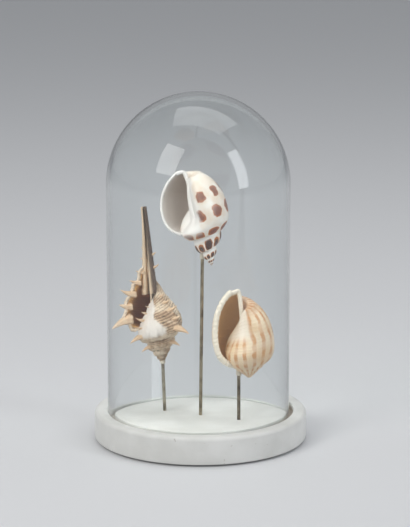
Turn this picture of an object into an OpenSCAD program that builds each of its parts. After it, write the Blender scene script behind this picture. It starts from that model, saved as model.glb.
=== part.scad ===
// Seashell display case: a glass dome over three shells on thin metal stems.
// Z is up, the origin is the middle of the felt's foot, -Y faces the viewer.

/* [Plinth] */
// Diameter of the turned wooden plinth
plinth_d = 140; // [130:1:170]
// Thickness of the plinth's board
plinth_h = 18; // [15:0.5:30]
// Radius of the round on the plinth's upper edge
plinth_round = 2.5; // [0.5:0.1:4]
// Size of the small break on the plinth's lower edge
plinth_break = 1.2; // [0.4:0.1:3]
// Depth of the ring groove that the dome stands in
groove_depth = 4.5; // [2:0.1:8]
// Gap between the dome and the groove's outer wall
groove_gap_outer = 1.5; // [0.6:0.1:3]
// Gap between the dome and the groove's inner wall
groove_gap_inner = 2.4; // [0.6:0.1:4]
// Width of the bevel on the groove's two lips
groove_bevel = 0.4; // [0.1:0.05:0.8]

/* [Felt] */
// Thickness of the felt pad under the plinth
felt_h = 1.2; // [0.5:0.1:4]
// How far the felt stays back from the plinth's edge
felt_inset = 5; // [2:0.5:20]

/* [Dome] */
// Outer diameter of the glass dome
dome_d = 120; // [116:1:128]
// Height of the dome from its ground foot to its top
dome_h = 216; // [208:1:260]
// Thickness of the glass
dome_wall = 2.5; // [1.5:0.1:4]
// How far the dome is pushed to the left inside its groove
dome_shift = 1.35; // [0:0.05:1.35]

/* [Stems] */
// Diameter of the metal stems
stem_d = 2.2; // [1.6:0.1:3]
// Depth of the blind bores that the stems stand in
stem_bore_depth = 9; // [5:0.5:13]
// How far each stem reaches up inside its shell
stem_reach = 16; // [12:0.5:20]
// Outer diameter of the putty sleeve that holds a shell on its stem
putty_d = 3.4; // [3:0.1:4.5]

/* [Murex] */
// Length of the horned murex shell
murex_l = 104; // [90:1:110]
// Distance from the murex shell's axis to its lip
murex_r = 19; // [16:0.5:21]
// Reach of the longest horns beyond the murex shell's wall
murex_horn = 13; // [5:0.5:14]
// Height of the murex shell's tip above the deck
murex_z = 30.5; // [25:0.5:45]

/* [Babylon] */
// Length of the spotted babylon shell
babylon_l = 65; // [50:0.5:70]
// Distance from the babylon shell's axis to its lip
babylon_r = 23.5; // [20:0.5:27]
// Height of the babylon shell's tip above the deck
babylon_z = 99; // [90:0.5:120]

/* [Bonnet] */
// Length of the striped bonnet shell
bonnet_l = 60; // [50:0.5:66]
// Distance from the bonnet shell's axis to its lip
bonnet_r = 22.5; // [20:0.5:27]
// Height of the bonnet shell's tip above the deck
bonnet_z = 27.5; // [20:0.5:40]

/* [Hidden] */

// Running clearance between a stem, its bore and its putty
fit_gap = 0.03;
overcut = 1;
deck_z = felt_h + plinth_h;
dome_r = dome_d / 2;
dome_inner_r = dome_r - dome_wall;
groove_outer_r = dome_r + groove_gap_outer;
deck_r = dome_inner_r - groove_gap_inner;
dome_foot_z = deck_z - groove_depth;
dome_centre_z = dome_foot_z + dome_h - dome_r;
felt_r = plinth_d / 2 - felt_inset;

// Stems: foot on the deck, and lean to the right going up in degrees
murex_foot = [-23.5, 13.7];
murex_lean = -2.4;
babylon_foot = [0, 0];
babylon_lean = 0.7;
bonnet_foot = [24.7, -15.4];
bonnet_lean = 0;

// Growth of the three shells for each turn about their axes
murex_growth = 1.8;
babylon_growth = 2.2;
bonnet_growth = 2.0;
murex_turns = 3;
babylon_turns = 4;
bonnet_turns = 4;
rows_per_turn = 12;
columns_per_turn = 24;
axis_r = 0.02;
hollow_turns = 0.4;
hollow_ahead = 0.03;
hollow_steps = 9;

// Outer profiles of the shells at the lip, from the seam to the beak: radius as
// a share of the lip's radius, and height above the tip as a share of the length
babylon_profile = [
    [0, 0.15], [0.36, 0.17], [0.56, 0.21], [0.82, 0.30], [0.97, 0.41], [1, 0.51],
    [0.91, 0.65], [0.70, 0.79], [0.44, 0.91], [0.24, 0.985], [0, 1],
];
bonnet_profile = [
    [0, 0.12], [0.38, 0.145], [0.64, 0.18], [0.87, 0.27], [0.98, 0.38], [1, 0.49],
    [0.92, 0.65], [0.72, 0.81], [0.46, 0.93], [0.28, 0.985], [0, 1],
];
murex_profile = [
    [0, 0.12], [0.46, 0.145], [0.86, 0.19], [1, 0.25], [0.97, 0.34], [0.80, 0.44],
    [0.56, 0.53], [0.34, 0.60], [0.18, 0.66], [0, 0.67],
];
// Outlines of the mouths, in the same shares
babylon_mouth = [
    [0.48, 0.27], [0.76, 0.33], [0.90, 0.44], [0.92, 0.54], [0.82, 0.67], [0.60, 0.81],
    [0.32, 0.94], [0.16, 0.96], [0.16, 0.78], [0.30, 0.58], [0.44, 0.40],
];
bonnet_mouth = [
    [0.52, 0.25], [0.76, 0.30], [0.87, 0.41], [0.87, 0.53], [0.76, 0.69], [0.52, 0.85],
    [0.32, 0.93], [0.20, 0.93], [0.26, 0.74], [0.42, 0.54], [0.50, 0.38],
];
murex_mouth = [
    [0.54, 0.21], [0.76, 0.22], [0.86, 0.28], [0.82, 0.37], [0.64, 0.46], [0.42, 0.53],
    [0.28, 0.55], [0.28, 0.46], [0.40, 0.32],
];
outline_steps = 3;

// Curves and sweeps

function catmull(a, b, c, d, u) =
    (2 * b + (c - a) * u + (2 * a - 5 * b + 4 * c - d) * u * u + (3 * b - a - 3 * c + d) * u * u * u) / 2;

// Shape points at real size
function sized(shape, radius, length) = [for (p = shape) [p[0] * radius, p[1] * length]];

// A profile as a table of height and radius, for lookup()
function profile_table(shape, radius, length) =
    let (p = sized(shape, radius, length), n = len(p) - 1)
    [for (i = [0 : n - 1], j = [0 : outline_steps - 1])
        let (q = catmull(p[max(i - 1, 0)], p[i], p[i + 1], p[min(i + 2, n)], j / outline_steps)) [q[1], q[0]]];

// The lip's own points, from the seam to just short of the beak
function lip_edge(profile) = [for (i = [2 : 2 : len(profile) - 3]) [profile[i][1], profile[i][0]]];

// A section point p carried back to turn t, where 0 is the lip
function coiled(p, growth, t, lip_angle) =
    let (g = pow(growth, t), a = lip_angle + 360 * t)
    [g * p[0] * cos(a), g * p[0] * sin(a), g * p[1]];

// Triangles between rings of n points each, with both ends closed
function tube_faces(rings, n) = concat(
    [for (i = [0 : rings - 2], j = [0 : n - 1]) [i * n + j, (i + 1) * n + j, (i + 1) * n + (j + 1) % n]],
    [for (i = [0 : rings - 2], j = [0 : n - 1]) [i * n + j, (i + 1) * n + (j + 1) % n, i * n + (j + 1) % n]],
    [[for (j = [0 : n - 1]) j]],
    [[for (j = [0 : n - 1]) rings * n - 1 - j]]
);

// The widest radius at height z, of all the turns that reach it at the lip's bearing
function reach(profile, growth, turns, z) =
    max([for (k = [0 : turns]) lookup(z * pow(growth, k), profile) / pow(growth, k)]);

// The closed outside of a shell, wound as one ribbon from the beak to the tip.
// Heights fall by the same ratio from row to row, so that a row meets the row
// of the next turn, and the flat face of the mouth closes the last turn.
module wound(profile, growth, turns, length, lip_angle) {
    rows = turns * rows_per_turn;
    heights = [for (i = [0 : rows]) length * pow(growth, -i / rows_per_turn)];
    radii = [for (z = heights) reach(profile, growth, turns, z)];
    seam = min([for (i = [1 : rows - rows_per_turn])
        if (radii[i + rows_per_turn] <= radii[i] / growth + axis_r) i]);
    cols = columns_per_turn;
    stride = cols + 1;
    // Vertex of row i and column j: past the seam, the last column is the next turn's first
    function at(i, j) =
        j == cols && i >= seam && i + rows_per_turn <= rows ? at(i + rows_per_turn, 0) : i * stride + j;
    axis_start = (rows + 1) * stride;
    tip = axis_start + stride;
    points = concat(
        [for (i = [0 : rows], j = [0 : cols])
            coiled([radii[i], heights[i]], growth, -j / cols, lip_angle)],
        [for (j = [0 : cols]) [0, 0, length * pow(growth, -j / cols)]],
        [[0, 0, 0]]
    );
    loop = concat(
        [for (j = [0 : cols]) at(rows, j)],
        [for (i = [1 : rows_per_turn - 1]) at(rows - i, cols)]
    );
    faces = concat(
        [for (i = [0 : rows - 1], j = [0 : cols - 1]) [at(i, j), at(i + 1, j), at(i + 1, j + 1)]],
        [for (i = [0 : rows - 1], j = [0 : cols - 1]) [at(i, j), at(i + 1, j + 1), at(i, j + 1)]],
        [for (j = [0 : cols - 1]) [axis_start + j, at(0, j), at(0, j + 1)]],
        [for (j = [0 : cols - 1]) [axis_start + j, at(0, j + 1), axis_start + j + 1]],
        [concat(
            [for (j = [0 : cols]) axis_start + j],
            [for (i = [0 : seam - 1]) at(i, cols)],
            [for (i = [seam + rows_per_turn : -1 : 0]) at(i, 0)]
        )],
        [for (n = [0 : len(loop) - 1]) [loop[n], tip, loop[(n + 1) % len(loop)]]]
    );
    polyhedron(points = points, faces = faces, convexity = 6);
}

// The hollow behind the mouth, which narrows as the turns do
module hollow(mouth, growth, lip_angle) {
    points = [for (i = [0 : hollow_steps], p = mouth)
        coiled(p, growth, hollow_ahead - (hollow_turns + hollow_ahead) * i / hollow_steps, lip_angle)];
    polyhedron(points = points, faces = tube_faces(hollow_steps + 1, len(mouth)), convexity = 4);
}

// A round bead along a line of section points, as a chain of hulls
module bead(line, growth, t, radius, lip_angle) {
    for (i = [0 : len(line) - 2])
        hull()
            for (j = [i, i + 1])
                translate(coiled(line[j], growth, t, lip_angle))
                    sphere(r = radius * pow(growth, t), $fn = 8);
}

// A curved spike that leaves the wall at base, along out, and bends towards up
module horn(base, out, up, length, radius) {
    sides = 6;
    rings = 4;
    side = cross(up, out);
    points = [for (i = [0 : rings - 1], j = [0 : sides - 1])
        let (u = i / (rings - 1), a = 360 * j / sides, r = radius * (1.05 - u) * (1 - 0.15 * u))
        base + out * length * u + up * length * 0.35 * u * u + (side * cos(a) + up * sin(a)) * r];
    polyhedron(points = points, faces = tube_faces(rings, sides));
}

// Stems, putty and their bores

// Places a child on a stem's axis, with z measured along it from the deck
module on_stem(foot, lean) {
    translate([foot[0], foot[1], deck_z])
        rotate([0, lean, 0])
            children();
}

module stem(foot, lean, shell_z) {
    on_stem(foot, lean)
        translate([0, 0, -stem_bore_depth])
            cylinder(h = stem_bore_depth + shell_z + stem_reach, d = stem_d, $fn = 32);
}

module stem_bore(foot, lean) {
    on_stem(foot, lean)
        translate([0, 0, -stem_bore_depth])
            cylinder(h = stem_bore_depth + overcut, d = stem_d + 2 * fit_gap, $fn = 32);
}

module putty(foot, lean, from_z, shell_z) {
    difference() {
        on_stem(foot, lean)
            translate([0, 0, from_z])
                cylinder(h = shell_z + stem_reach - from_z, d = putty_d, $fn = 32);
        on_stem(foot, lean)
            cylinder(h = 2 * (shell_z + stem_reach), d = stem_d + 2 * fit_gap, $fn = 32);
    }
}

module shell_bore(foot, lean, shell_z) {
    on_stem(foot, lean)
        cylinder(h = shell_z + stem_reach + fit_gap, d = putty_d + 2 * fit_gap, $fn = 16);
}

// The plinth, its felt and the dome

module plinth() {
    top = plinth_h;
    bottom_r = plinth_d / 2 - plinth_break;
    round_x = plinth_d / 2 - plinth_round;
    rim = [for (a = [0 : 15 : 90]) [round_x + plinth_round * cos(a), top - plinth_round + plinth_round * sin(a)]];
    profile = concat(
        [[0, 0], [bottom_r, 0], [plinth_d / 2, plinth_break]],
        rim,
        [
            [groove_outer_r + groove_bevel, top],
            [groove_outer_r, top - groove_bevel],
            [groove_outer_r, top - groove_depth],
            [deck_r, top - groove_depth],
            [deck_r, top - groove_bevel],
            [deck_r - groove_bevel, top],
            [0, top],
        ]
    );
    color("white")
        difference() {
            translate([0, 0, felt_h])
                rotate_extrude($fn = 96)
                    polygon(profile);
            stem_bore(murex_foot, murex_lean);
            stem_bore(babylon_foot, babylon_lean);
            stem_bore(bonnet_foot, bonnet_lean);
        }
}

module felt_pad() {
    color("dimgray")
        cylinder(h = felt_h, r = felt_r, $fn = 96);
}

module glass_dome() {
    wall_h = dome_h - dome_r;
    foot_round = dome_wall / 5;
    outer = [for (a = [0 : 6 : 90]) [dome_r * cos(a), wall_h + dome_r * sin(a)]];
    inner = [for (a = [90 : -6 : 0]) [dome_inner_r * cos(a), wall_h + dome_inner_r * sin(a)]];
    foot = [
        [dome_inner_r, foot_round],
        [dome_inner_r + foot_round, 0],
        [dome_r - foot_round, 0],
        [dome_r, foot_round],
    ];
    color("lightcyan", 0.3)
        translate([-dome_shift, 0, dome_foot_z])
            rotate_extrude($fn = 96)
                polygon(concat(foot, outer, inner));
}

module murex_stem() {
    color("darkkhaki")
        stem(murex_foot, murex_lean, murex_z);
}

module babylon_stem() {
    color("darkkhaki")
        stem(babylon_foot, babylon_lean, babylon_z);
}

module bonnet_stem() {
    color("darkkhaki")
        stem(bonnet_foot, bonnet_lean, bonnet_z);
}

// Babylon shell: smooth whorls, a wide mouth and a short beak

babylon_lip_angle = 190;
babylon_tip = [7.6, -5.5];
babylon_turn = [-5, -14, 0];

module babylon_place() {
    translate([babylon_tip[0], babylon_tip[1], deck_z + babylon_z])
        rotate(babylon_turn)
            children();
}

module babylon_shell() {
    lip_bead = 0.8;
    profile = profile_table(babylon_profile, babylon_r, babylon_l);
    mouth = sized(babylon_mouth, babylon_r, babylon_l);
    edge = lip_edge(profile);
    color("antiquewhite")
        difference() {
            babylon_place() {
                difference() {
                    wound(profile, babylon_growth, babylon_turns, babylon_l, babylon_lip_angle);
                    hollow(mouth, babylon_growth, babylon_lip_angle);
                }
                bead(edge, babylon_growth, 0, lip_bead, babylon_lip_angle);
            }
            shell_bore(babylon_foot, babylon_lean, babylon_z);
        }
}

module babylon_putty() {
    color("gainsboro")
        putty(babylon_foot, babylon_lean, babylon_z + 4, babylon_z);
}

// Bonnet shell: a short spire, a big last turn and a thick rolled lip

bonnet_lip_angle = 200;
bonnet_tip = [31.5, -17];
bonnet_turn = [0, -4.2, 0];

module bonnet_place() {
    translate([bonnet_tip[0], bonnet_tip[1], deck_z + bonnet_z])
        rotate(bonnet_turn)
            children();
}

module bonnet_shell() {
    lip_bead = 2.2;
    profile = profile_table(bonnet_profile, bonnet_r, bonnet_l);
    mouth = sized(bonnet_mouth, bonnet_r, bonnet_l);
    edge = lip_edge(profile);
    color("wheat")
        difference() {
            bonnet_place() {
                difference() {
                    wound(profile, bonnet_growth, bonnet_turns, bonnet_l, bonnet_lip_angle);
                    hollow(mouth, bonnet_growth, bonnet_lip_angle);
                }
                bead(edge, bonnet_growth, 0, lip_bead, bonnet_lip_angle);
            }
            shell_bore(bonnet_foot, bonnet_lean, bonnet_z);
        }
}

module bonnet_putty() {
    color("gainsboro")
        putty(bonnet_foot, bonnet_lean, bonnet_z + 2, bonnet_z);
}

// Murex shell: three rows of horns to a turn, and a long open canal

murex_lip_angle = 200;
murex_tip = [-24.8, 13.7];
murex_turn = [0, -7, 0];
// Each horn of a row: its place on the profile, its length and its width as shares
murex_horns = [[3, 1.0, 0.24], [4, 0.55, 0.16], [5, 0.65, 0.16], [6, 0.4, 0.12]];
// Horns on the canal: height as a share of the length, and bearing
murex_canal_horns = [[0.68, 195], [0.76, 200], [0.62, -40], [0.7, -30], [0.62, 80]];
murex_rows = 5;

module murex_place() {
    translate([murex_tip[0], murex_tip[1], deck_z + murex_z])
        rotate(murex_turn)
            children();
}

module murex_row(edge, k) {
    ridge_r = 1.7;
    t = -k / 3;
    g = pow(murex_growth, t);
    a = murex_lip_angle + 360 * t;
    out = [cos(a), sin(a), 0];
    up = [0, 0, 1];
    bead([for (i = [1 : 2 : 7]) edge[i]], murex_growth, t, ridge_r, murex_lip_angle);
    for (h = murex_horns)
        horn(coiled(edge[h[0]], murex_growth, t, murex_lip_angle) - out * 1.3,
            out, up * (h[0] == 3 ? -0.3 : 0.6), murex_horn * h[1] * g, murex_r * h[2] * g);
}

module murex_canal() {
    base = murex_l * 0.5;
    base_r = 4.8;
    tip_r = 1.6;
    translate([0, 0, base])
        rotate([0, 0, 7])
            cylinder(h = murex_l - base, r1 = base_r, r2 = tip_r, $fn = 10);
}

module murex_shell() {
    profile = profile_table(murex_profile, murex_r, murex_l);
    mouth = sized(murex_mouth, murex_r, murex_l);
    edge = sized(murex_profile, murex_r, murex_l);
    body_l = edge[len(edge) - 1][1];
    up = [0, 0, 1];
    color("tan")
        difference() {
            murex_place() {
                difference() {
                    wound(profile, murex_growth, murex_turns, body_l, murex_lip_angle);
                    hollow(mouth, murex_growth, murex_lip_angle);
                }
                murex_canal();
                for (k = [0 : murex_rows - 1])
                    murex_row(edge, k);
                for (h = murex_canal_horns)
                    horn([cos(h[1]), sin(h[1]), 0] * 2 + up * h[0] * murex_l,
                        [cos(h[1]), sin(h[1]), 0], up * 0.6, murex_horn * 0.45, 1.2);
            }
            shell_bore(murex_foot, murex_lean, murex_z);
        }
}

module murex_putty() {
    color("gainsboro")
        putty(murex_foot, murex_lean, murex_z + 1, murex_z);
}

plinth();
felt_pad();
glass_dome();
murex_stem();
babylon_stem();
bonnet_stem();
murex_putty();
babylon_putty();
bonnet_putty();
murex_shell();
babylon_shell();
bonnet_shell();
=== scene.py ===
import bpy
import math
from mathutils import Matrix, Vector, noise


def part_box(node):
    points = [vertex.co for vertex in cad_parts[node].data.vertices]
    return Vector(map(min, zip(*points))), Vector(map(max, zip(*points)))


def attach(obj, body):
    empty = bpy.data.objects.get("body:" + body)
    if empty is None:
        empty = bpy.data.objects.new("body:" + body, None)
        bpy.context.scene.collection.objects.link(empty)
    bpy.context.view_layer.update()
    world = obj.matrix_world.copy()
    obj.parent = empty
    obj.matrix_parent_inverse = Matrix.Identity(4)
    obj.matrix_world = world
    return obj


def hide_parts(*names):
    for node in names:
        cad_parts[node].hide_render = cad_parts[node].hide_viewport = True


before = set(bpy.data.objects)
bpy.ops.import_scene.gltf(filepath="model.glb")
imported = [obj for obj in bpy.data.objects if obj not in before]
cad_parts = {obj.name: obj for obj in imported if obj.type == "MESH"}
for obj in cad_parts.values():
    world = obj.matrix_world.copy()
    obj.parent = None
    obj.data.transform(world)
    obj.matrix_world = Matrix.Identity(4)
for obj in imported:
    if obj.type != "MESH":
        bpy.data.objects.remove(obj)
bpy.ops.object.select_all(action="DESELECT")
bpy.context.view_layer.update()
MM = 0.001

# Felt pad.
# A disc of grey felt is glued under the plinth, a little back from its edge,
# so that the case doesn't scratch what it stands on.


def tone(red, green, blue):
    """A colour as it is seen on a screen, from 0 to 255, made linear for the shader."""
    return tuple(((c / 255 + 0.055) / 1.055) ** 2.4 for c in (red, green, blue)) + (1.0,)


class Field:
    """A number over the surface, from a shader socket, that takes part in arithmetic."""

    def __init__(self, finish, socket):
        self.finish = finish
        self.socket = socket

    def math(self, operation, *values):
        made = self.finish.node("Math", {"operation": operation}, self, *values)
        return Field(self.finish, made.outputs[0])

    def __add__(self, other):
        return self.math("ADD", other)

    def __radd__(self, other):
        return self.math("ADD", other)

    def __sub__(self, other):
        return self.math("SUBTRACT", other)

    def __rsub__(self, other):
        return (self * -1).math("ADD", other)

    def __mul__(self, other):
        return self.math("MULTIPLY", other)

    def __rmul__(self, other):
        return self.math("MULTIPLY", other)

    def step(self, low, high):
        """From 0 below low to 1 above high, with soft ends."""
        settings = {"interpolation_type": "SMOOTHSTEP"}
        return Field(self.finish, self.finish.node("MapRange", settings, self, low, high).outputs[0])


class Finish:
    """A material with one Principled shader, and short calls that add its other nodes."""

    def __init__(self, name, colour, roughness):
        self.material = bpy.data.materials.new(name)
        self.material.use_nodes = True
        self.tree = self.material.node_tree
        self.shader = self.tree.nodes["Principled BSDF"]
        self.out = self.tree.nodes["Material Output"]
        self.set("Base Color", colour)
        self.set("Roughness", roughness)

    def node(self, kind, settings, *values, **named):
        made = self.tree.nodes.new("ShaderNode" + kind)
        for key, value in settings.items():
            setattr(made, key, value)
        for key, value in list(enumerate(values)) + list(named.items()):
            self.join(made.inputs[key.replace("_", " ") if isinstance(key, str) else key], value)
        return made

    def join(self, socket, value):
        if isinstance(value, Field):
            self.tree.links.new(value.socket, socket)
        else:
            socket.default_value = value

    def set(self, name, value):
        self.join(self.shader.inputs[name], value)

    def place(self):
        return Field(self, self.node("TexCoord", {}).outputs["Object"])

    def own(self, name):
        """A number that the mesh itself carries for each of its points."""
        return Field(self, self.node("Attribute", {"attribute_name": name}).outputs["Fac"])

    def noise(self, place, scale, detail=3.0):
        made = self.node("TexNoise", {}, Vector=place, Scale=scale, Detail=detail)
        return Field(self, made.outputs["Fac"])

    def point(self, x, y):
        return Field(self, self.node("CombineXYZ", {}, x, y).outputs[0])

    def stretch(self, place, scale):
        """The place with each axis multiplied by its own scale, which draws a pattern out."""
        return Field(self, self.node("Mapping", {}, place, Scale=scale).outputs[0])

    def axis(self, place, name):
        return Field(self, self.node("SeparateXYZ", {}, place).outputs[name])

    def blend(self, amount, first, second):
        """The first colour where amount is 0, and the second where it is 1."""
        amount_socket, first_socket, second_socket, colour_output = 0, 6, 7, 2
        made = self.node("Mix", {"data_type": "RGBA"})
        self.join(made.inputs[amount_socket], amount)
        self.join(made.inputs[first_socket], first)
        self.join(made.inputs[second_socket], second)
        return Field(self, made.outputs[colour_output])

    def relief(self, height, depth):
        """Bumps as deep as depth, in metres, where height runs from 0 to 1."""
        bump = self.node("Bump", {}, Strength=1.0, Distance=depth, Height=height)
        self.set("Normal", Field(self, bump.outputs["Normal"]))


def dress(node, finish):
    """Gives a CAD node its material."""
    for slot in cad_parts[node].material_slots:
        slot.material = finish.material


felt = Finish("grey_felt", tone(52, 52, 52), 0.95)
fibres = felt.noise(felt.place(), 1600, 6)
felt.set("Base Color", felt.blend(fibres, tone(34, 34, 35), tone(74, 73, 72)))
felt.relief(fibres, 0.4 * MM)
dress("felt_pad", felt)

# Plinth.
# One board, turned round on a lathe with a soft upper edge, and with a ring
# groove for the dome. It is sprayed satin white, thinner inside the groove,
# where its colour is also darkened as painted shade.

LATHE_STEPS = 192


def set_points(name, columns, rows, where, closed_columns):
    """A grid of columns and rows with each point moved to where(column, row)."""
    bpy.ops.mesh.primitive_grid_add(x_subdivisions=columns, y_subdivisions=rows, size=1)
    piece = bpy.context.object
    piece.name = name
    piece.data.name = name
    for index, vertex in enumerate(piece.data.vertices):
        row, column = divmod(index, columns + 1)
        vertex.co = where(column, row)
    if closed_columns:
        bpy.ops.object.mode_set(mode="EDIT")
        bpy.ops.mesh.select_all(action="SELECT")
        bpy.ops.mesh.remove_doubles(threshold=0.002 * MM)
        bpy.ops.mesh.dissolve_degenerate(threshold=0.001 * MM)
        bpy.ops.mesh.normals_make_consistent(inside=False)
        bpy.ops.object.mode_set(mode="OBJECT")
    piece.select_set(False)
    return piece


def lathe(name, outline, centre_x=0.0):
    """Turns a closed outline of (radius, height) points, in metres, about a vertical axis."""

    def where(column, row):
        radius, height = outline[row % len(outline)]
        angle = 2 * math.pi * column / LATHE_STEPS
        return (centre_x + radius * math.cos(angle), radius * math.sin(angle), height)

    return set_points(name, LATHE_STEPS, len(outline), where, True)


def arc(centre, radius, first, last, steps):
    """Points of an arc in the half plane of an outline, with its angles in degrees."""
    angles = [math.radians(first + (last - first) * k / steps) for k in range(steps + 1)]
    return [(centre[0] + radius * math.cos(a), centre[1] + radius * math.sin(a)) for a in angles]


def soften(piece, angle):
    """Shades a piece smooth, apart from edges sharper than the angle, in degrees."""
    piece.select_set(True)
    bpy.context.view_layer.objects.active = piece
    bpy.ops.object.shade_smooth_by_angle(angle=math.radians(angle))
    piece.select_set(False)


plinth_low, plinth_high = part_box("plinth")
glass_low, glass_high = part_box("glass_dome")
deck_z = plinth_high[2]
plinth_r = plinth_high[0]
dome_x = (glass_low[0] + glass_high[0]) / 2
dome_r = (glass_high[0] - glass_low[0]) / 2
groove_z = glass_low[2]
groove_outer_r = dome_r + 1.5 * MM
glass_wall = 2.5 * MM
deck_r = dome_r - glass_wall - 2.4 * MM
edge_round = 2.5 * MM
under_round = 1.2 * MM
lip_round = 0.4 * MM

plinth_outline = (
    [(0, plinth_low[2])]
    + arc((plinth_r - under_round, plinth_low[2] + under_round), under_round, -90, 0, 5)
    + arc((plinth_r - edge_round, deck_z - edge_round), edge_round, 0, 90, 10)
    + arc((groove_outer_r + lip_round, deck_z - lip_round), lip_round, 90, 180, 4)
    + [(groove_outer_r, groove_z), (deck_r, groove_z)]
    + arc((deck_r - lip_round, deck_z - lip_round), lip_round, 0, 90, 4)
    + [(0, deck_z)]
)
plinth = lathe("painted_plinth", plinth_outline)
soften(plinth, 30)

paint = Finish("white_paint", tone(226, 226, 222), 0.42)
board = paint.place()
mottle = paint.noise(board, 38, 4)
stipple = paint.noise(board, 900, 3)
brushed = paint.noise(paint.stretch(board, (60, 60, 700)), 1, 4)
height = paint.axis(board, "Z")
in_groove = 1 - (height - (deck_z - 0.8 * MM)).step(-3.0 * MM, 0.0)
flattened = paint.stretch(board, (1, 1, 0))
radius = Field(paint, paint.node("VectorMath", {"operation": "LENGTH"}, flattened).outputs["Value"])
inside = 1 - radius.step(groove_outer_r, groove_outer_r + 0.3 * MM)
# Painted shade: inside the groove the white turns grey-brown, partly for the thinner paint and partly as
# the shade of the recess
groove_paint_and_shade = in_groove * inside
white = paint.blend(mottle.step(0.35, 0.7), tone(219, 219, 215), tone(232, 232, 229))
white = paint.blend(groove_paint_and_shade * (0.55 + 0.5 * mottle), white, tone(150, 136, 122))
specks = paint.noise(board, 420, 2).step(0.735, 0.76)
white = paint.blend(specks * 0.5, white, tone(168, 160, 150))
paint.set("Base Color", white)
paint.set("Roughness", 0.36 + 0.18 * mottle)
paint.relief(stipple * 0.5 + brushed * 0.5, 0.10 * MM)
plinth.data.materials.append(paint.material)
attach(plinth, "stand")
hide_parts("plinth")

# Stems and putty.
# Each stem is a length of drawn metal rod, pushed into the plinth. The putty
# that holds the shell on its end was pressed in and smoothed off.

for node, colour, dark in (
    ("murex_stem", tone(176, 168, 150), tone(118, 108, 92)),
    ("babylon_stem", tone(168, 156, 132), tone(110, 98, 78)),
    ("bonnet_stem", tone(140, 128, 108), tone(84, 74, 60)),
):
    metal = Finish(node + "_metal", colour, 0.34)
    rod = metal.place()
    drawn = metal.noise(metal.stretch(rod, (2600, 2600, 60)), 1, 4)
    tarnish = metal.noise(rod, 140, 5).step(0.42, 0.68)
    metal.set("Base Color", metal.blend(tarnish, colour, dark))
    metal.set("Metallic", 1.0)
    metal.set("Roughness", 0.28 + 0.22 * tarnish)
    metal.relief(drawn, 0.03 * MM)
    dress(node, metal)

putty = Finish("pressed_putty", tone(214, 206, 190), 0.6)
putty.relief(putty.noise(putty.place(), 700, 4), 0.15 * MM)
for node in ("murex_putty", "babylon_putty", "bonnet_putty"):
    dress(node, putty)

# Murex shell.
# A horned murex on its stem, spire down. It carries a ridge of curved horns at
# every third of a turn, and its mouth runs up into a long slit canal.


def spline(points, s):
    """A point at share s of a smooth line through the given points."""
    spot = min(max(s, 0.0), 1.0) * (len(points) - 1)
    i = min(int(spot), len(points) - 2)
    u = spot - i
    a, b, c, d = (points[min(max(i + k, 0), len(points) - 1)] for k in (-1, 0, 1, 2))
    return tuple(
        (2 * q + (r - p) * u + (2 * p - 5 * q + 4 * r - t) * u * u + (3 * q - p - 3 * r + t) * u ** 3) / 2
        for p, q, r, t in zip(a, b, c, d)
    )


def ease(share):
    """Runs from 0 to 1 with soft ends as share does."""
    share = min(max(share, 0.0), 1.0)
    return share * share * (3 - 2 * share)


# Where the wall starts to draw in behind the mouth and over how much it does so, both
# in turns back from the lip, and the same for where the next turn covers less of it
TUCK_START = 0.73
TUCK_RUN = 0.13
COVER_START = 0.98
COVER_RUN = 0.20
# How much higher the drawn-in part starts there, as a share of the section's height
COVER_RISE = 0.24


class Coil:
    """A shell's spiral: its section at the lip, carried round the axis as it shrinks."""

    def __init__(
        self, outer, inner, lip_r, length, growth, lip_angle, tip, lean, slow=(0, 0, 0), tuck=(0, 0, 1)
    ):
        """lip_angle, and the axis's lean about x, y and z, are in degrees."""
        self.outer = [(r * lip_r, z * length) for r, z in outer]
        self.inner = [(r * lip_r, z * length) for r, z in inner]
        self.growth = growth
        # How much slower than the rest the last turn grows: in radius, in height, and at its beak
        self.slow_radius, self.slow_height, self.slow_beak = slow
        # How far the wall draws in behind the mouth, and between which shares of the height
        # that sets in
        self.tuck, self.tuck_low, self.tuck_high = tuck
        self.lip_angle = math.radians(lip_angle)
        x, y, z = (math.radians(a) for a in lean)
        turned = Matrix.Rotation(z, 4, "Z") @ Matrix.Rotation(y, 4, "Y") @ Matrix.Rotation(x, 4, "X")
        self.stand = Matrix.Translation(tip) @ turned

    def section(self, s):
        """Point s of the section: 0 to 1 is the outside, and 1 to 2 goes back along the axis."""
        if s <= 1:
            return spline(self.outer, s)
        return spline([self.outer[-1]] + self.inner + [self.outer[0]], s - 1)

    def outward(self, s):
        """The section's outward direction at s."""
        step = 0.004
        before = self.section((s - step) % 2)
        after = self.section((s + step) % 2)
        along = (after[0] - before[0], after[1] - before[1])
        size = math.hypot(*along) or 1.0
        return (along[1] / size, -along[0] / size)

    def place(self, turn, s, out=0.0):
        """Where point s is at a turn counted back from the lip, moved outward by out."""
        r, z = self.section(s)
        n = self.outward(s)
        last = min(-turn, 1.0)
        tall = z / self.outer[-1][1]
        to_beak = min(max(tall - 0.5, 0.0) * 2, 1.0)
        slow_height = self.slow_height + (self.slow_beak - self.slow_height) * to_beak
        shrink = self.growth ** (turn + self.slow_radius * last)
        shrink_height = self.growth ** (turn + slow_height * last)
        angle = self.lip_angle + 2 * math.pi * turn
        # Under the lip the next turn covers less of this one, so that only its upper part draws in
        tuck_low = self.tuck_low + COVER_RISE * ease((-turn - COVER_START) / COVER_RUN)
        above = (tall - tuck_low) / (self.tuck_high - self.tuck_low)
        drawn_in = ease((-turn - TUCK_START) / TUCK_RUN) * ease(above)
        shrink *= 1 - self.tuck * drawn_in
        r, z = (r + n[0] * out) * shrink, (z + n[1] * out) * shrink_height
        return self.stand @ Vector((r * math.cos(angle), r * math.sin(angle), z))

    def local(self, x, y, z):
        """Where a point of the shell's own upright axes stands in the case."""
        return self.stand @ Vector((x, y, z))

    def way(self, x, y, z):
        """The same for a direction."""
        return self.stand.to_3x3() @ Vector((x, y, z))


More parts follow.
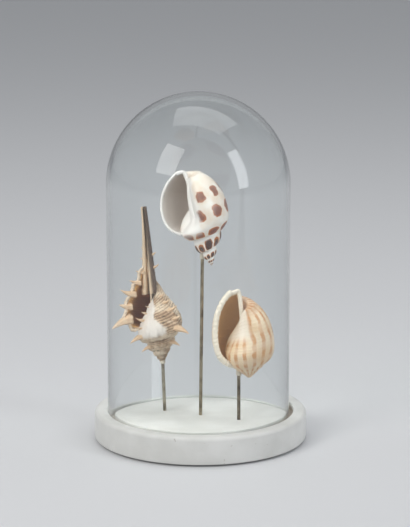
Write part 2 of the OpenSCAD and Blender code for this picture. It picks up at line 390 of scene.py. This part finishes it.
# What each point of a shell belongs to, as its mesh carries it in "kind"
OUTSIDE, LIP, INSIDE, HORN, CANAL = 0.0, 1.0, 2.0, 3.0, 4.0


def carry(piece, turns, alongs, kinds):
    """Gives each point its turn, its place along the section and its kind, for the material."""
    for label, values in (("turn", turns), ("along", alongs), ("kind", kinds)):
        layer = piece.data.attributes.new(label, "FLOAT", "POINT")
        layer.data.foreach_set("value", values)


def carried(finish):
    """The same three numbers in a material, and the place in space."""
    return finish.own("turn"), finish.own("along"), finish.own("kind"), finish.place()


def wind(name, coil, turns, columns, wall, lip, relief, flare):
    """The shell as one sheet: the outside, the rolled lip, and the inside as far as it shows.

    wall is the shell's thickness and lip(s) the radius of its rolled edge, both in metres.
    relief(turn, s) is how far the outside stands out, and flare(s) how far the lip opens."""
    spire_step = 1 / 40
    body_step = 1 / 96
    body_turns = 2
    at_lip = 1e-6
    roll_steps = 8
    inside_steps = 60
    inside_turns = 0.7
    flare_run = 0.02
    thick_run = 0.012
    least_r = 4 * MM
    rows = []
    turn = -turns
    while turn < -at_lip:
        rows.append((turn, OUTSIDE, 0.0))
        turn += spire_step if turn < -body_turns else body_step
    for k in range(roll_steps + 1):
        rows.append((0.0, LIP, math.pi * k / roll_steps))
    for k in range(1, inside_steps + 1):
        rows.append((-inside_turns * k / inside_steps, INSIDE, 0.0))
    turn_of = []
    along_of = []
    kind_of = []

    def where(column, row):
        turn, kind, roll = rows[row]
        s = 2 * column / columns % 2
        turn_of.append(turn)
        along_of.append(s)
        kind_of.append(kind)
        near_lip = math.exp(turn / flare_run)
        open_out = flare(s) * near_lip
        if kind == OUTSIDE:
            out = relief(turn, s) + open_out + (lip(s) - wall / 2) * math.exp(turn / thick_run)
            return coil.place(turn, s, out)
        if kind == LIP:
            out = relief(0.0, s) + flare(s) - wall / 2 + lip(s) * math.cos(roll)
            ahead = lip(s) * math.sin(roll) / (2 * math.pi * max(coil.section(s)[0], least_r))
            return coil.place(ahead, s, out)
        thin = -wall / 2 - (lip(s) - (lip(s) - wall / 2) * (1 - near_lip))
        return coil.place(turn, s, open_out + relief(0.0, s) * near_lip + thin)

    piece = set_points(name, columns, len(rows) - 1, where, False)
    carry(piece, turn_of, along_of, kind_of)
    piece.select_set(True)
    bpy.context.view_layer.objects.active = piece
    bpy.ops.object.mode_set(mode="EDIT")
    bpy.ops.mesh.select_all(action="SELECT")
    bpy.ops.mesh.remove_doubles(threshold=0.001 * MM)
    bpy.ops.mesh.select_all(action="DESELECT")
    bpy.ops.mesh.select_non_manifold()
    bpy.ops.mesh.edge_face_add()
    bpy.ops.mesh.select_all(action="SELECT")
    bpy.ops.mesh.normals_make_consistent(inside=False)
    bpy.ops.object.mode_set(mode="OBJECT")
    bpy.ops.object.shade_smooth()
    piece.select_set(False)
    return piece


def tube(name, rings, sides, kind):
    """A closed tube through rings, each a function from a share of a turn to a point."""

    def where(column, row):
        if row == 0 or row == len(rings) + 1:
            ring = rings[0] if row == 0 else rings[-1]
            return sum((ring(k / sides) for k in range(sides)), Vector()) / sides
        return rings[row - 1](column / sides % 1)

    piece = set_points(name, sides, len(rings) + 1, where, True)
    points = len(piece.data.vertices)
    carry(piece, [0.0] * points, [0.0] * points, [kind] * points)
    piece.select_set(True)
    bpy.context.view_layer.objects.active = piece
    bpy.ops.object.shade_smooth()
    piece.select_set(False)
    return piece


def gather(main, others):
    """Joins the other pieces into the main one."""
    bpy.ops.object.select_all(action="DESELECT")
    for piece in others + [main]:
        piece.select_set(True)
    bpy.context.view_layer.objects.active = main
    bpy.ops.object.join()
    main.select_set(False)


MUREX_L = 104 * MM
MUREX_R = 20 * MM
MUREX_GROWTH = 1.6
MUREX_LIP_ANGLE = 205
MUREX_LEAN = 7
# For each turn: ridges of horns, knobs and ribs. Along the section: cords and threads
MUREX_RIDGES = 3
MUREX_KNOBS = 12
MUREX_RIBS = 24
MUREX_CORDS = 12
MUREX_THREADS = 45
murex_tip = (-24.8 * MM, 13.7 * MM, deck_z + 30.5 * MM)
murex_outer = [
    (0.46, 0.235), (0.64, 0.255), (0.90, 0.285), (1.00, 0.335), (0.93, 0.41),
    (0.74, 0.48), (0.52, 0.54), (0.34, 0.60), (0.22, 0.65),
]
murex_inner = [(0.08, 0.65), (0.05, 0.53), (0.09, 0.40), (0.24, 0.29)]
murex = Coil(
    murex_outer, murex_inner, lip_r=MUREX_R, length=MUREX_L, growth=MUREX_GROWTH,
    lip_angle=MUREX_LIP_ANGLE, tip=murex_tip, lean=(0, -MUREX_LEAN, 0),
)


def coil_noise(turn, s, scale):
    """Growth marks: smooth noise that runs on unbroken from turn to turn."""
    ring = 1.2
    angle = 2 * math.pi * turn
    return noise.noise(Vector((math.cos(angle) * ring, math.sin(angle) * ring + turn, s)) * scale)


def hump(distance, half_width):
    """1 at distance 0, about a third at the half width, and soon 0 beyond it."""
    return math.exp(-((distance / half_width) ** 2))


def murex_relief(turn, s):
    if s > 1:
        return 0.0
    to_ridge = abs((turn * MUREX_RIDGES + 0.5) % 1 - 0.5) / MUREX_RIDGES
    fall = 0.35 + 0.65 * math.sin(math.pi * s)
    ridge = 2.3 * MM * hump(to_ridge, 0.024) * fall
    drift = coil_noise(turn, s, 2.0)
    cords = 0.42 * MM * math.sin(2 * math.pi * (s * MUREX_CORDS + 0.3 * drift)) ** 2
    threads = 0.14 * MM * math.sin(2 * math.pi * s * MUREX_THREADS)
    knobs = 0.9 * MM * max(0, math.cos(2 * math.pi * turn * MUREX_KNOBS)) * hump(s - 0.38, 0.09)
    ribs = 0.35 * MM * math.cos(2 * math.pi * turn * MUREX_RIBS)
    lumps = 0.9 * MM * coil_noise(turn, s, 5.0) + 0.5 * MM * coil_noise(turn, s, 14.0)
    ends = min(1, s / 0.08) * min(1, (1 - s) / 0.08)
    return (ridge + cords + threads + knobs + ribs * fall + lumps) * ends


murex_body = wind(
    "horned_murex", murex, turns=5.2, columns=132, wall=1.6 * MM,
    lip=lambda s: (1.1 if s <= 1 else 0.9) * MM,
    relief=murex_relief,
    flare=lambda s: (0.9 * MM * math.sin(2 * math.pi * s * 6) if s <= 1 else 0.0),
)


def horn(base, out, up, length, radius, curl):
    """A curved, slightly ribbed horn that tapers from its base to a point."""
    rings = []
    side = out.cross(up).normalized()
    steps = 9
    sides = 20
    ribs = 5
    rib_depth = 0.10
    flatness = 0.8
    point_r = 0.12 * MM
    for k in range(steps + 1):
        u = k / steps
        middle = base + out * length * u + up * length * curl * u * u
        r = radius * (1 - u) ** 0.8 + point_r

        def ring(a, middle=middle, r=r):
            angle = 2 * math.pi * a
            spoke = side * math.cos(angle) + up * math.sin(angle) * flatness
            return middle + spoke * r * (1 + rib_depth * math.cos(angle * ribs))

        rings.append(ring)
    return tube("horn", rings, sides, HORN)


# The horns of each ridge: place on the outside, length as a share of the longest,
# root radius in millimetres, and how far the horn curls up (or down, below 0)
MUREX_HORN = 13 * MM
HORN_RIDGES = 7
# How deep a horn's root sits in the wall at the lip, in millimetres
HORN_SUNK = 1.6
murex_row = [
    (0.36, 1.00, 4.4, -0.35), (0.49, 0.52, 3.2, 0.30), (0.62, 0.66, 3.0, 0.45), (0.75, 0.45, 2.4, 0.40),
    (0.87, 0.32, 1.8, 0.40),
]
spikes = []
up = murex.way(0, 0, 1)
for ridge in range(HORN_RIDGES):
    turn = -ridge / MUREX_RIDGES
    shrink = MUREX_GROWTH ** turn
    angle = math.radians(MUREX_LIP_ANGLE) + 2 * math.pi * turn
    out = murex.way(math.cos(angle), math.sin(angle), 0)
    for s, share, root, curl in murex_row:
        base = murex.place(turn, s) - out * HORN_SUNK * MM * shrink
        length = MUREX_HORN * share * shrink + 1.5 * MM
        spikes.append(horn(base, out, up, length, root * MM * shrink, curl))

# The canal: where it starts as a share of the shell's length, the bearing of its slit
# in degrees, and the slit's width as a share of the way round
CANAL_BASE = 0.46
SLIT_BEARING = 262
SLIT_GAP = 0.07
CANAL_STEPS = 40
canal_rings = []
for k in range(CANAL_STEPS + 1):
    u = k / CANAL_STEPS
    z = MUREX_L * (CANAL_BASE + (1 - CANAL_BASE) * u)
    r = (3.3 * (1 - u) ** 1.3 + 1.9) * MM
    bend = -3.0 * MM * (1 - u) ** 1.5

    def ring(a, z=z, r=r, bend=bend):
        """Round the outside from one side of the slit to the other, and back inside."""
        outside = a < 0.5
        share = a * 2 if outside else 2 - a * 2
        bearing = math.radians(SLIT_BEARING) + 2 * math.pi * (SLIT_GAP / 2 + share * (1 - SLIT_GAP))
        uneven = 1 + 0.05 * math.sin(z / MM * 1.9) + 0.04 * math.sin(bearing * 7)
        size = r * uneven if outside else r * 0.45
        return murex.local(bend + size * math.cos(bearing), size * math.sin(bearing), z)

    canal_rings.append(ring)
canal = tube("canal", canal_rings, sides=48, kind=CANAL)
# The canal's own horns: height as a share of the length, bearing in degrees, and length in millimetres
CANAL_HORN_AWAY = 1.8
CANAL_HORN_ROOT = 1.3
CANAL_HORN_CURL = 0.5
canal_row = [
    (0.60, 190, 5.0), (0.67, 192, 4.6), (0.74, 195, 3.4), (0.62, -25, 4.4), (0.70, -20, 3.0), (0.56, 80, 5),
]
canal_spikes = []
for share, bearing, length in canal_row:
    out = murex.way(math.cos(math.radians(bearing)), math.sin(math.radians(bearing)), 0)
    base = murex.local(0, 0, share * MUREX_L) + out * CANAL_HORN_AWAY * MM
    canal_spikes.append(horn(base, out, up, length * MM, CANAL_HORN_ROOT * MM, CANAL_HORN_CURL))
gather(murex_body, spikes + [canal] + canal_spikes)

rough = Finish("murex_shell", tone(214, 184, 150), 0.55)
turn, along, kind, body = carried(rough)
patches = rough.noise(body, 110, 5)
grit = rough.noise(body, 520, 5)
cord = ((along * MUREX_CORDS + patches * 0.35) * (2 * math.pi)).math("SINE").math("POWER", 2.0)
thread = (along * (2 * math.pi * MUREX_THREADS)).math("SINE") * 0.5 + 0.5
brown = (cord * 0.45 + patches * 1.15 + grit * 0.55).step(0.85, 1.45)
shell = rough.blend(patches.step(0.35, 0.65), tone(236, 218, 194), tone(212, 182, 150))
shell = rough.blend(brown * 0.7, shell, tone(112, 80, 58))
shell = rough.blend(grit.step(0.60, 0.74) * 0.6, shell, tone(70, 54, 44))
is_horn = kind.step(2.4, 2.9)
is_canal = kind.step(3.4, 3.9)
is_inside = kind.step(1.2, 1.9) * (1 - is_horn)
is_lip = kind.step(0.3, 0.9) * (1 - kind.step(1.1, 1.6))
shell = rough.blend(is_horn, shell, rough.blend(grit, tone(240, 220, 192), tone(206, 160, 118)))
# Painted shade: the canal is pale on its left and painted dark brown on its right, as its shaded side
across = rough.axis(body, "X")
tall = rough.axis(body, "Z")
canal_middle = murex_tip[0] - (tall - murex_tip[2]) * math.tan(math.radians(MUREX_LEAN))
canal_shade_mask = (across - canal_middle).step(-1.6 * MM, 0.2 * MM)
canal_shade_tone = rough.blend(grit, tone(122, 100, 84), tone(78, 62, 54))
canal_tone = rough.blend(canal_shade_mask, tone(226, 200, 170), canal_shade_tone)
shell = rough.blend(is_canal, shell, canal_tone)
# A white shield lies beside the mouth
crescent = along.step(0.24, 0.36) * (1 - along.step(0.42, 0.62))
near_mouth = (1 - (turn + 0.16 * patches - 0.09 * crescent).step(-0.78, -0.74)) * turn.step(-1.22, -1.12)
callus = near_mouth * along.step(0.26, 0.36) * (1 - kind.step(0.2, 0.6))
shell = rough.blend(callus, shell, tone(238, 230, 222))
# Painted shade: the inside of the mouth turns a darker orange-brown the deeper it goes
deep = (turn * -1).step(0.01, 0.20)
shell = rough.blend(is_inside, shell, rough.blend(deep, tone(240, 190, 120), tone(176, 104, 46)))
shell = rough.blend(is_lip * 0.8, shell, tone(236, 216, 192))
rough.set("Base Color", shell)
rough.set("Roughness", 0.62 - 0.3 * callus - 0.2 * is_inside)
rough.relief(grit * 0.7 + thread * 0.3, 0.35 * MM)
murex_body.data.materials.append(rough.material)
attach(murex_body, "stand")
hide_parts("murex_shell")

# Babylon shell.
# A spotted babylon, smooth and a little glossy, with squarish brown spots in
# rows on white. Its mouth is wide, and the inside is a pale beige.

BABYLON_L = 65 * MM
BABYLON_R = 23.5 * MM
BABYLON_GROWTH = 2.0
babylon_outer = [
    (0.42, 0.378), (0.58, 0.388), (0.77, 0.415), (0.92, 0.48), (0.985, 0.57),
    (0.98, 0.68), (0.88, 0.80), (0.66, 0.91), (0.38, 0.985),
]
babylon_inner = [(0.12, 0.97), (0.06, 0.82), (0.05, 0.68), (0.10, 0.56), (0.24, 0.45)]
babylon = Coil(
    babylon_outer, babylon_inner, lip_r=BABYLON_R, length=BABYLON_L, growth=BABYLON_GROWTH,
    lip_angle=190, tip=(7.6 * MM, -5.5 * MM, deck_z + 99 * MM), lean=(-5, -14, 0),
    slow=(0.45, 0.65, 0.85), tuck=(0.62, 0.46, 0.63),
)


def babylon_relief(turn, s):
    if s > 1:
        return 0.0
    ends = min(1, s / 0.06) * min(1, (1 - s) / 0.1)
    shoulder = 0.8 * MM * hump(s - 0.16, 0.05)
    return (0.25 * MM * coil_noise(turn, s, 3.0) + shoulder) * ends


babylon_shell = wind(
    "spotted_babylon", babylon, turns=6.0, columns=112, wall=1.3 * MM,
    lip=lambda s: (0.75 if s <= 1 else 1.3) * MM,
    relief=babylon_relief,
    flare=lambda s: (0.8 * MM * math.sin(math.pi * s) if s <= 1 else 0.0),
)


def spot_row(finish, turn, along, wobble, middle, tallness, per_turn, share, offset):
    """A row of squarish spots at one place on the section, per_turn to a turn.

    Gives 1 on the spots, and how far a point is from its spot's middle, about 1 at the edge."""
    beat = turn * per_turn + offset + wobble * 0.5
    cell = beat.math("FLOOR")
    luck = Field(finish, finish.node("TexWhiteNoise", {"noise_dimensions": "1D"}, W=cell).outputs["Value"])
    x = (beat - cell - 0.5).math("ABSOLUTE") * (2 / share)
    y = (along + (luck - 0.5) * 0.04 + wobble * 0.03 - middle).math("ABSOLUTE") * tallness
    distance = (x.math("POWER", 2.6) + y.math("POWER", 2.6)) + (luck - 0.5) * 0.5
    return (1 - distance.step(0.75, 1.05)), distance


gloss = Finish("babylon_shell", tone(240, 232, 222), 0.28)
turn, along, kind, body = carried(gloss)
cloud = gloss.noise(body, 130, 4)
wobble = gloss.noise(body, 260, 3) - 0.5
white = gloss.blend(cloud.step(0.3, 0.7), tone(244, 238, 230), tone(234, 218, 200))
late = turn.step(-1.1, -0.85)
spotted = None
core = None
# Each row: its middle and half height on the spire, the same on the last turn, its spots
# to a turn, how much of the way round they fill, and where they start
for spire_middle, spire_half, last_middle, last_half, per_turn, share, offset in (
    (0.33, 0.19, 0.265, 0.10, 9.5, 0.86, 0.1),
    (0.62, 0.03, 0.56, 0.08, 9.0, 0.66, 0.45),
    (0.80, 0.03, 0.76, 0.06, 9.0, 0.52, 0.1),
):
    middle = spire_middle + (last_middle - spire_middle) * late
    tallness = 1 / spire_half + (1 / last_half - 1 / spire_half) * late
    mask, distance = spot_row(gloss, turn, along, wobble, middle, tallness, per_turn, share, offset)
    spotted = mask if spotted is None else spotted.math("MAXIMUM", mask)
    soft = 1 - distance.step(0.05, 1.0)
    core = soft if core is None else core.math("MAXIMUM", soft)
fade = along.step(0.42, 0.66)
bright = gloss.blend(fade, tone(206, 120, 36), tone(184, 108, 66))
deep_brown = gloss.blend(late, tone(62, 24, 14), gloss.blend(fade, tone(128, 52, 6), tone(122, 50, 24)))
brown = gloss.blend(core * (0.75 + 0.7 * cloud), bright, deep_brown)
shell = gloss.blend(spotted * (0.98 - 0.15 * fade), white, brown)
near_mouth = (1 - (turn + 0.06 * wobble).step(-0.80, -0.76)) * turn.step(-1.10, -1.02)
covered = (1 - turn.step(-1.0, -0.95)) * along.step(0.50, 0.54)
callus = (near_mouth * along.step(0.20, 0.44)).math("MAXIMUM", covered)
edge = kind.step(0.2, 0.7)
inside = kind.step(1.2, 1.9)
shell = gloss.blend(callus, shell, tone(246, 242, 238))
shell = gloss.blend(edge, shell, tone(246, 242, 238))
# Painted shade: the inside of the mouth turns a little darker the deeper it goes
deep = (turn * -1).step(0.0, 0.22)
shell = gloss.blend(inside, shell, gloss.blend(deep, tone(246, 240, 234), tone(240, 226, 214)))
gloss.set("Base Color", shell)
gloss.set("Roughness", 0.24 + 0.16 * cloud)
unrolled = gloss.point(turn * 260, along * 3)
growth_lines = gloss.node("TexNoise", {}, Vector=unrolled, Scale=1.0)
gloss.relief(Field(gloss, growth_lines.outputs["Fac"]), 0.05 * MM)
gloss.set("Coat Weight", 0.25)
babylon_shell.data.materials.append(gloss.material)
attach(babylon_shell, "stand")
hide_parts("babylon_shell")

# Bonnet shell.
# A striped bonnet: a short spire, one big round turn with fine spiral grooves
# and tan stripes along it, a thick toothed lip and a white pillar.

BONNET_L = 60 * MM
BONNET_R = 22.5 * MM
BONNET_GROWTH = 1.55
# Along the section: fine grooves, the broad bands in which the stripes show, and the
# lip's teeth. Round each turn: stripes
BONNET_GROOVES = 26
BONNET_BANDS = 5
BONNET_TEETH = 20
BONNET_STRIPES = 15
bonnet_outer = [
    (0.46, 0.18), (0.61, 0.20), (0.82, 0.26), (0.95, 0.35), (1.00, 0.47),
    (0.98, 0.61), (0.88, 0.76), (0.67, 0.89), (0.40, 0.975),
]
bonnet_inner = [(0.12, 0.97), (0.06, 0.80), (0.06, 0.58), (0.12, 0.40), (0.28, 0.26)]
bonnet = Coil(
    bonnet_outer, bonnet_inner, lip_r=BONNET_R, length=BONNET_L, growth=BONNET_GROWTH,
    lip_angle=208, tip=(31.5 * MM, -17 * MM, deck_z + 27.5 * MM), lean=(0, -4.2, 0),
    slow=(0, 0, 0.3), tuck=(0.55, 0.42, 0.85),
)


def bonnet_relief(turn, s):
    if s > 1:
        return 0.0
    ends = min(1, s / 0.06) * min(1, (1 - s) / 0.1)
    grooves = 0.16 * MM * math.sin(2 * math.pi * s * BONNET_GROOVES)
    return (grooves + 0.25 * MM * coil_noise(turn, s, 2.5)) * ends


bonnet_shell = wind(
    "striped_bonnet", bonnet, turns=6.0, columns=156, wall=1.8 * MM,
    lip=lambda s: (2.0 + 0.18 * math.sin(2 * math.pi * s * BONNET_TEETH) if s <= 1 else 1.6) * MM,
    relief=bonnet_relief,
    flare=lambda s: (0.9 * MM if s <= 1 else 0.0),
)

cream = Finish("bonnet_shell", tone(236, 212, 178), 0.35)
turn, along, kind, body = carried(cream)
cloud = cream.noise(body, 90, 4)
ragged = cream.noise(body, 420, 4)
ground = cream.blend(cloud.step(0.3, 0.7), tone(243, 224, 196), tone(230, 200, 162))
beat = turn * BONNET_STRIPES + (cloud - 0.5) * 0.55 + (ragged - 0.5) * 0.25
stripe = (beat * (2 * math.pi)).math("SINE").step(-0.1, 0.75)
bands = (along * (2 * math.pi * BONNET_BANDS)).math("SINE").step(-0.9, 0.6)
stripe = stripe * (0.45 + 0.55 * bands) * (0.6 + 0.6 * ragged)
shell = cream.blend(stripe * 0.9, ground, tone(206, 142, 82))
groove = (along * (2 * math.pi * BONNET_GROOVES)).math("SINE").step(0.2, 0.95)
# Painted shade: the bottoms of the spiral grooves are darkened a little
shell = cream.blend((1 - groove) * 0.10, shell, tone(170, 120, 78))
beak = along.step(0.86, 0.98) * (1 - kind.step(0.2, 0.6))
shell = cream.blend(beak * 0.6 * ragged, shell, tone(150, 84, 58))
callus = (1 - (turn + 0.05 * cloud).step(-0.79, -0.75)) * along.step(0.60, 0.72)
edge = kind.step(0.2, 0.7)
inside = kind.step(1.2, 1.9)
shell = cream.blend(callus, shell, tone(248, 238, 224))
shell = cream.blend(edge, shell, tone(247, 236, 218))
# Painted shade: the inside of the mouth turns a darker tan the deeper it goes
deep = (turn * -1).step(0.0, 0.16)
shell = cream.blend(inside, shell, cream.blend(deep, tone(252, 232, 198), tone(252, 208, 150)))
cream.set("Base Color", shell)
cream.set("Roughness", 0.30 + 0.18 * cloud)
cream.relief(groove * 0.6 + ragged * 0.4, 0.14 * MM)
bonnet_shell.data.materials.append(cream.material)
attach(bonnet_shell, "stand")
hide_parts("bonnet_shell")

# Glass dome.
# Blown clear glass with a round top and a ground foot, which stands loose in
# the plinth's groove and is lifted off by hand.

dome_centre_z = glass_high[2] - dome_r
inner_r = dome_r - glass_wall
foot_round = 0.9 * MM
dome_outline = (
    arc((dome_r - foot_round, groove_z + foot_round), foot_round, -90, 0, 5)
    + arc((0, dome_centre_z), dome_r, 0, 90, 48)
    + arc((0, dome_centre_z), inner_r, 90, 0, 48)
    + arc((inner_r + foot_round, groove_z + foot_round), foot_round, 180, 270, 5)
)
dome = lathe("clear_dome", dome_outline, dome_x)
soften(dome, 60)

glass = Finish("clear_glass", tone(250, 252, 252), 0.0)
glass.set("Transmission Weight", 1.0)
glass.set("IOR", 1.47)
ripple = glass.noise(glass.place(), 14, 1)
glass.relief(ripple, 0.35 * MM)
# A shadow ray goes straight through the dome, a little dimmed, so that lamps light the shells
clear = glass.node("BsdfTransparent", {}, (0.97, 0.985, 0.98, 1.0))
path = glass.node("LightPath", {})
pane = glass.node("MixShader", {}, Field(glass, path.outputs["Is Shadow Ray"]))
glass.tree.links.new(glass.shader.outputs["BSDF"], pane.inputs[1])
glass.tree.links.new(clear.outputs["BSDF"], pane.inputs[2])
glass.tree.links.new(pane.outputs["Shader"], glass.out.inputs["Surface"])
dome.data.materials.append(glass.material)
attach(dome, "dome")
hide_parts("glass_dome")

# Floor, light and camera.
# A wide pale floor runs back to a pale sky, with soft lamps above and beside,
# seen from a little above with a long lens.

FLOOR_SIDE = 18.0
FLOOR_CELLS = 8


def floor_point(column, row):
    return ((column / FLOOR_CELLS - 0.5) * FLOOR_SIDE, (row / FLOOR_CELLS - 0.5) * FLOOR_SIDE, 0.0)


backdrop = set_points("backdrop", FLOOR_CELLS, FLOOR_CELLS, floor_point, False)
studio = Finish("studio_floor", tone(222, 223, 225), 0.7)
studio.relief(studio.noise(studio.place(), 60, 3), 0.2 * MM)
backdrop.data.materials.append(studio.material)

centre = Vector((0, 0, 0.12))


def lamp(name, place, size, power, warmth, mirrored):
    """A soft lamp turned towards the case, which shows in gloss and glass only if mirrored."""
    light = bpy.data.lights.new(name, "AREA")
    light.shape = "RECTANGLE"
    light.size, light.size_y = size
    light.energy = power
    light.color = warmth
    holder = bpy.data.objects.new(name, light)
    bpy.context.collection.objects.link(holder)
    holder.visible_glossy = mirrored
    holder.location = place
    holder.rotation_euler = (centre - Vector(place)).to_track_quat("-Z", "Y").to_euler()


lamp("key", (-0.9, -0.9, 1.1), size=(0.7, 1.0), power=10.5, warmth=(1.0, 0.98, 0.95), mirrored=False)
lamp("fill", (1.1, -0.7, 0.7), size=(0.35, 1.1), power=4, warmth=(0.96, 0.98, 1.0), mirrored=True)
lamp("top", (0.1, 0.3, 1.4), size=(1.2, 0.8), power=6, warmth=(1.0, 1.0, 1.0), mirrored=False)

world = bpy.data.worlds.new("studio")
bpy.context.scene.world = world
world.use_nodes = True
sky_nodes = world.node_tree
sky = sky_nodes.nodes["Background"]
sky.inputs["Color"].default_value = tone(235, 238, 242)
rays = sky_nodes.nodes.new("ShaderNodeLightPath")
shown = sky_nodes.nodes.new("ShaderNodeMapRange")
# How strong the sky is as light on the case, and as the camera sees it
SKY_LIGHT = 0.40
SKY_SHOWN = 0.62
shown.inputs["To Min"].default_value = SKY_LIGHT
shown.inputs["To Max"].default_value = SKY_SHOWN
sky_nodes.links.new(rays.outputs["Is Camera Ray"], shown.inputs["Value"])
sky_nodes.links.new(shown.outputs["Result"], sky.inputs["Strength"])

CAMERA_AWAY = 1640 * MM
CAMERA_DOWN = math.radians(12.7)
# Both in millimetres, as Blender's camera takes them
LENS = 220
FILM_WIDTH = 36
aim = Vector((3.0 * MM, 0, deck_z + 98.4 * MM))
look = Vector((0, math.cos(CAMERA_DOWN), -math.sin(CAMERA_DOWN)))
camera_data = bpy.data.cameras.new("camera")
camera_data.sensor_fit = "HORIZONTAL"
camera_data.sensor_width = FILM_WIDTH
camera_data.lens = LENS
camera_data.clip_end = 20
camera = bpy.data.objects.new("camera", camera_data)
bpy.context.collection.objects.link(camera)
camera.location = aim - look * CAMERA_AWAY
camera.rotation_euler = look.to_track_quat("-Z", "Y").to_euler()
bpy.context.scene.camera = camera
bpy.context.scene.view_settings.view_transform = "Standard"
